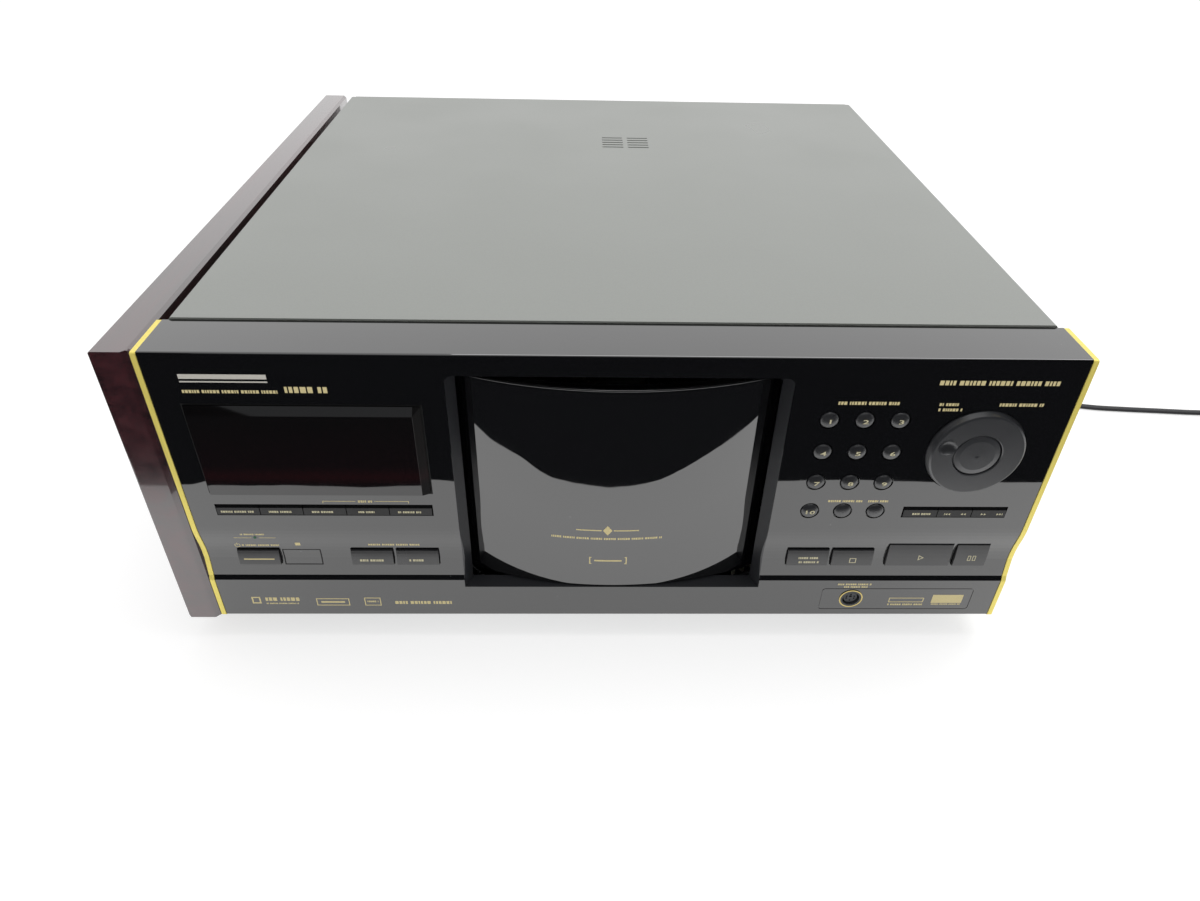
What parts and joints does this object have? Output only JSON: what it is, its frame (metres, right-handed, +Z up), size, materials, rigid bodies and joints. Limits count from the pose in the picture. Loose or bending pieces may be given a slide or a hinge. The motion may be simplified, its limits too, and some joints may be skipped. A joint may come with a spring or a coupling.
{
  "type": "disc changer with rotary rack",
  "caption": "Full-width disc changer: moulded front with a curved sliding door over a slotted rotary rack, display lens, keys, jog dial, steel case, lacquered side panel, feet and mains cord.",
  "frame": {"origin": "on the floor under the middle of the case's box at rest, without the cord", "axes": "+X to the right as seen from the front and along the front panel, +Y from the front to the rear, +Z up"},
  "size_m": [0.7944, 0.5773, 0.184],
  "materials": {
    "gloss_black": "piano black moulded plastic",
    "lens": "very dark red tinted acrylic",
    "gold": "polished gold anodised",
    "lacquered_wood": "dark rosewood under clear gloss lacquer",
    "cover_paint": "satin dark grey paint on sheet steel",
    "plated_steel": "zinc-plated sheet steel",
    "rear_paint": "satin black paint on sheet steel",
    "foot_plastic": "black moulded plastic",
    "black_screw": "blackened steel",
    "board": "solder-masked circuit board with parts",
    "core_steel": "laminated core and winding",
    "motor_can": "plated motor can",
    "frame_plastic": "dark grey moulded plastic",
    "gear_plastic": "natural acetal",
    "rack_plastic": "black moulded plastic",
    "turned_aluminium": "turned",
    "key_grey": "dark grey satin-gloss plastic",
    "key_black": "black satin-gloss plastic",
    "socket": "black insulator with gold-plated ring",
    "cord_pvc": "soft black PVC",
    "plug_pvc": "moulded black PVC"
  },
  "bodies": {
    "case": {"front_panel": "gloss_black", "display_lens": "lens", "ir_window": "lens", "keyboard_socket": "socket", "end_trims": "gold", "side_panel_left": "lacquered_wood", "top_cover": "cover_paint", "chassis_base": "plated_steel", "rear_panel": "rear_paint", "feet": "foot_plastic", "case_screws": "black_screw", "front_boards": "board", "main_board": "board", "transformer": "core_steel", "drive_motors": "motor_can", "mech_frame": "frame_plastic", "drive_frame": "plated_steel", "strain_relief": "cord_pvc", "mains_cord": "cord_pvc", "cord_coil": "cord_pvc", "mains_plug": "plug_pvc"},
    "door_panel": {"door": "gloss_black"},
    "door_wheel": {"door_gear": "gear_plastic"},
    "rack": {"rack_tray": "rack_plastic", "rack_dividers": "rack_plastic", "rack_ring_gear": "gear_plastic"},
    "rack_wheel": {"rack_pinion": "gear_plastic"},
    "spindle": {"turntable": "turned_aluminium"},
    "laser": {"pickup": "frame_plastic"},
    "clamp": {"clamp_arm": "plated_steel"},
    "pusher": {"disc_pusher": "frame_plastic"},
    "dial": {"jog_dial": "key_black"},
    "dial_push": {"dial_button": "key_grey"},
    "b_number_key_1": {"number_key_1": "key_grey"},
    "b_number_key_2": {"number_key_2": "key_grey"},
    "b_number_key_3": {"number_key_3": "key_grey"},
    "b_number_key_4": {"number_key_4": "key_grey"},
    "b_number_key_5": {"number_key_5": "key_grey"},
    "b_number_key_6": {"number_key_6": "key_grey"},
    "b_number_key_7": {"number_key_7": "key_grey"},
    "b_number_key_8": {"number_key_8": "key_grey"},
    "b_number_key_9": {"number_key_9": "key_grey"},
    "b_number_key_10": {"number_key_10": "key_grey"},
    "b_round_key_left": {"round_key_left": "key_grey"},
    "b_round_key_right": {"round_key_right": "key_grey"},
    "b_slim_key_1": {"slim_key_1": "key_black"},
    "b_slim_key_2": {"slim_key_2": "key_black"},
    "b_slim_key_3": {"slim_key_3": "key_black"},
    "b_slim_key_4": {"slim_key_4": "key_black"},
    "b_slim_key_5": {"slim_key_5": "key_black"},
    "b_skip_key_1": {"skip_key_1": "key_black"},
    "b_skip_key_2": {"skip_key_2": "key_black"},
    "b_skip_key_3": {"skip_key_3": "key_black"},
    "b_standby_key": {"standby_key": "key_grey"},
    "b_loader_access_key": {"loader_access_key": "key_grey"},
    "b_loader_play_key": {"loader_play_key": "key_grey"},
    "b_open_close_key": {"open_close_key": "key_grey"},
    "b_stop_key": {"stop_key": "key_grey"},
    "b_play_key": {"play_key": "key_grey"},
    "b_pause_key": {"pause_key": "key_grey"}
  },
  "joints": [
    {"name": "door_open", "type": "hinge", "parent": "case", "child": "door_panel", "pos_m": [0.0091, -0.011, 0.103], "axis": [0, 0, -1], "range_deg": [0, 46]},
    {"name": "door_wheel_spin", "type": "hinge", "parent": "case", "child": "door_wheel", "pos_m": [-0.10936, -0.18561, 0.027], "axis": [0, 0, -1], "continuous": true},
    {"name": "rack_turn", "type": "hinge", "parent": "case", "child": "rack", "pos_m": [0.0091, -0.011, 0.031], "axis": [0, 0, 1], "continuous": true},
    {"name": "rack_wheel_spin", "type": "hinge", "parent": "case", "child": "rack_wheel", "pos_m": [-0.13558, 0.14121, 0.0265], "axis": [0, 0, 1], "continuous": true},
    {"name": "spindle_spin", "type": "hinge", "parent": "case", "child": "spindle", "pos_m": [0.0031, -0.011, 0.096], "axis": [1, 0, 0], "continuous": true},
    {"name": "laser_track", "type": "slide", "parent": "case", "child": "laser", "axis": [0, 0, 1], "range_m": [-0.034, 0]},
    {"name": "clamp_close", "type": "hinge", "parent": "case", "child": "clamp", "pos_m": [0.0391, -0.011, 0.032], "axis": [0, -1, 0], "range_deg": [0, 3.5]},
    {"name": "pusher_feed", "type": "slide", "parent": "case", "child": "pusher", "axis": [0, -1, 0], "range_m": [0, 0.132]},
    {"name": "dial_turn", "type": "hinge", "parent": "case", "child": "dial", "pos_m": [0.1799, -0.211, 0.1314], "axis": [0, -1, 0], "continuous": true},
    {"name": "dial_push_in", "type": "slide", "parent": "case", "child": "dial_push", "axis": [0, 1, 0], "range_m": [0, 0.0008], "stiffness_N_per_m": 300},
    {"name": "press_number_key_1", "type": "slide", "parent": "case", "child": "b_number_key_1", "axis": [0, 1, 0], "range_m": [0, 0.0008], "stiffness_N_per_m": 300},
    {"name": "press_number_key_2", "type": "slide", "parent": "case", "child": "b_number_key_2", "axis": [0, 1, 0], "range_m": [0, 0.0008], "stiffness_N_per_m": 300},
    {"name": "press_number_key_3", "type": "slide", "parent": "case", "child": "b_number_key_3", "axis": [0, 1, 0], "range_m": [0, 0.0008], "stiffness_N_per_m": 300},
    {"name": "press_number_key_4", "type": "slide", "parent": "case", "child": "b_number_key_4", "axis": [0, 1, 0], "range_m": [0, 0.0008], "stiffness_N_per_m": 300},
    {"name": "press_number_key_5", "type": "slide", "parent": "case", "child": "b_number_key_5", "axis": [0, 1, 0], "range_m": [0, 0.0008], "stiffness_N_per_m": 300},
    {"name": "press_number_key_6", "type": "slide", "parent": "case", "child": "b_number_key_6", "axis": [0, 1, 0], "range_m": [0, 0.0008], "stiffness_N_per_m": 300},
    {"name": "press_number_key_7", "type": "slide", "parent": "case", "child": "b_number_key_7", "axis": [0, 1, 0], "range_m": [0, 0.0008], "stiffness_N_per_m": 300},
    {"name": "press_number_key_8", "type": "slide", "parent": "case", "child": "b_number_key_8", "axis": [0, 1, 0], "range_m": [0, 0.0008], "stiffness_N_per_m": 300},
    {"name": "press_number_key_9", "type": "slide", "parent": "case", "child": "b_number_key_9", "axis": [0, 1, 0], "range_m": [0, 0.0008], "stiffness_N_per_m": 300},
    {"name": "press_number_key_10", "type": "slide", "parent": "case", "child": "b_number_key_10", "axis": [0, 1, 0], "range_m": [0, 0.0008], "stiffness_N_per_m": 300},
    {"name": "press_round_key_left", "type": "slide", "parent": "case", "child": "b_round_key_left", "axis": [0, 1, 0], "range_m": [0, 0.0008], "stiffness_N_per_m": 300},
    {"name": "press_round_key_right", "type": "slide", "parent": "case", "child": "b_round_key_right", "axis": [0, 1, 0], "range_m": [0, 0.0008], "stiffness_N_per_m": 300},
    {"name": "press_slim_key_1", "type": "slide", "parent": "case", "child": "b_slim_key_1", "axis": [0, 1, 0], "range_m": [0, 0.0008], "stiffness_N_per_m": 300},
    {"name": "press_slim_key_2", "type": "slide", "parent": "case", "child": "b_slim_key_2", "axis": [0, 1, 0], "range_m": [0, 0.0008], "stiffness_N_per_m": 300},
    {"name": "press_slim_key_3", "type": "slide", "parent": "case", "child": "b_slim_key_3", "axis": [0, 1, 0], "range_m": [0, 0.0008], "stiffness_N_per_m": 300},
    {"name": "press_slim_key_4", "type": "slide", "parent": "case", "child": "b_slim_key_4", "axis": [0, 1, 0], "range_m": [0, 0.0008], "stiffness_N_per_m": 300},
    {"name": "press_slim_key_5", "type": "slide", "parent": "case", "child": "b_slim_key_5", "axis": [0, 1, 0], "range_m": [0, 0.0008], "stiffness_N_per_m": 300},
    {"name": "press_skip_key_1", "type": "slide", "parent": "case", "child": "b_skip_key_1", "axis": [0, 1, 0], "range_m": [0, 0.0008], "stiffness_N_per_m": 300},
    {"name": "press_skip_key_2", "type": "slide", "parent": "case", "child": "b_skip_key_2", "axis": [0, 1, 0], "range_m": [0, 0.0008], "stiffness_N_per_m": 300},
    {"name": "press_skip_key_3", "type": "slide", "parent": "case", "child": "b_skip_key_3", "axis": [0, 1, 0], "range_m": [0, 0.0008], "stiffness_N_per_m": 300},
    {"name": "press_standby_key", "type": "slide", "parent": "case", "child": "b_standby_key", "axis": [0, 1, 0], "range_m": [0, 0.0008], "stiffness_N_per_m": 300},
    {"name": "press_loader_access_key", "type": "slide", "parent": "case", "child": "b_loader_access_key", "axis": [0, 1, 0], "range_m": [0, 0.0008], "stiffness_N_per_m": 300},
    {"name": "press_loader_play_key", "type": "slide", "parent": "case", "child": "b_loader_play_key", "axis": [0, 1, 0], "range_m": [0, 0.0008], "stiffness_N_per_m": 300},
    {"name": "press_open_close_key", "type": "slide", "parent": "case", "child": "b_open_close_key", "axis": [0, 1, 0], "range_m": [0, 0.0008], "stiffness_N_per_m": 300},
    {"name": "press_stop_key", "type": "slide", "parent": "case", "child": "b_stop_key", "axis": [0, 1, 0], "range_m": [0, 0.0008], "stiffness_N_per_m": 300},
    {"name": "press_play_key", "type": "slide", "parent": "case", "child": "b_play_key", "axis": [0, 1, 0], "range_m": [0, 0.0008], "stiffness_N_per_m": 300},
    {"name": "press_pause_key", "type": "slide", "parent": "case", "child": "b_pause_key", "axis": [0, 1, 0], "range_m": [0, 0.0008], "stiffness_N_per_m": 300}
  ],
  "couplings": [
    {"joint": "door_wheel_spin", "follows": "door_open", "ratio": -12.188},
    {"joint": "rack_wheel_spin", "follows": "rack_turn", "ratio": -7.75}
  ]
}
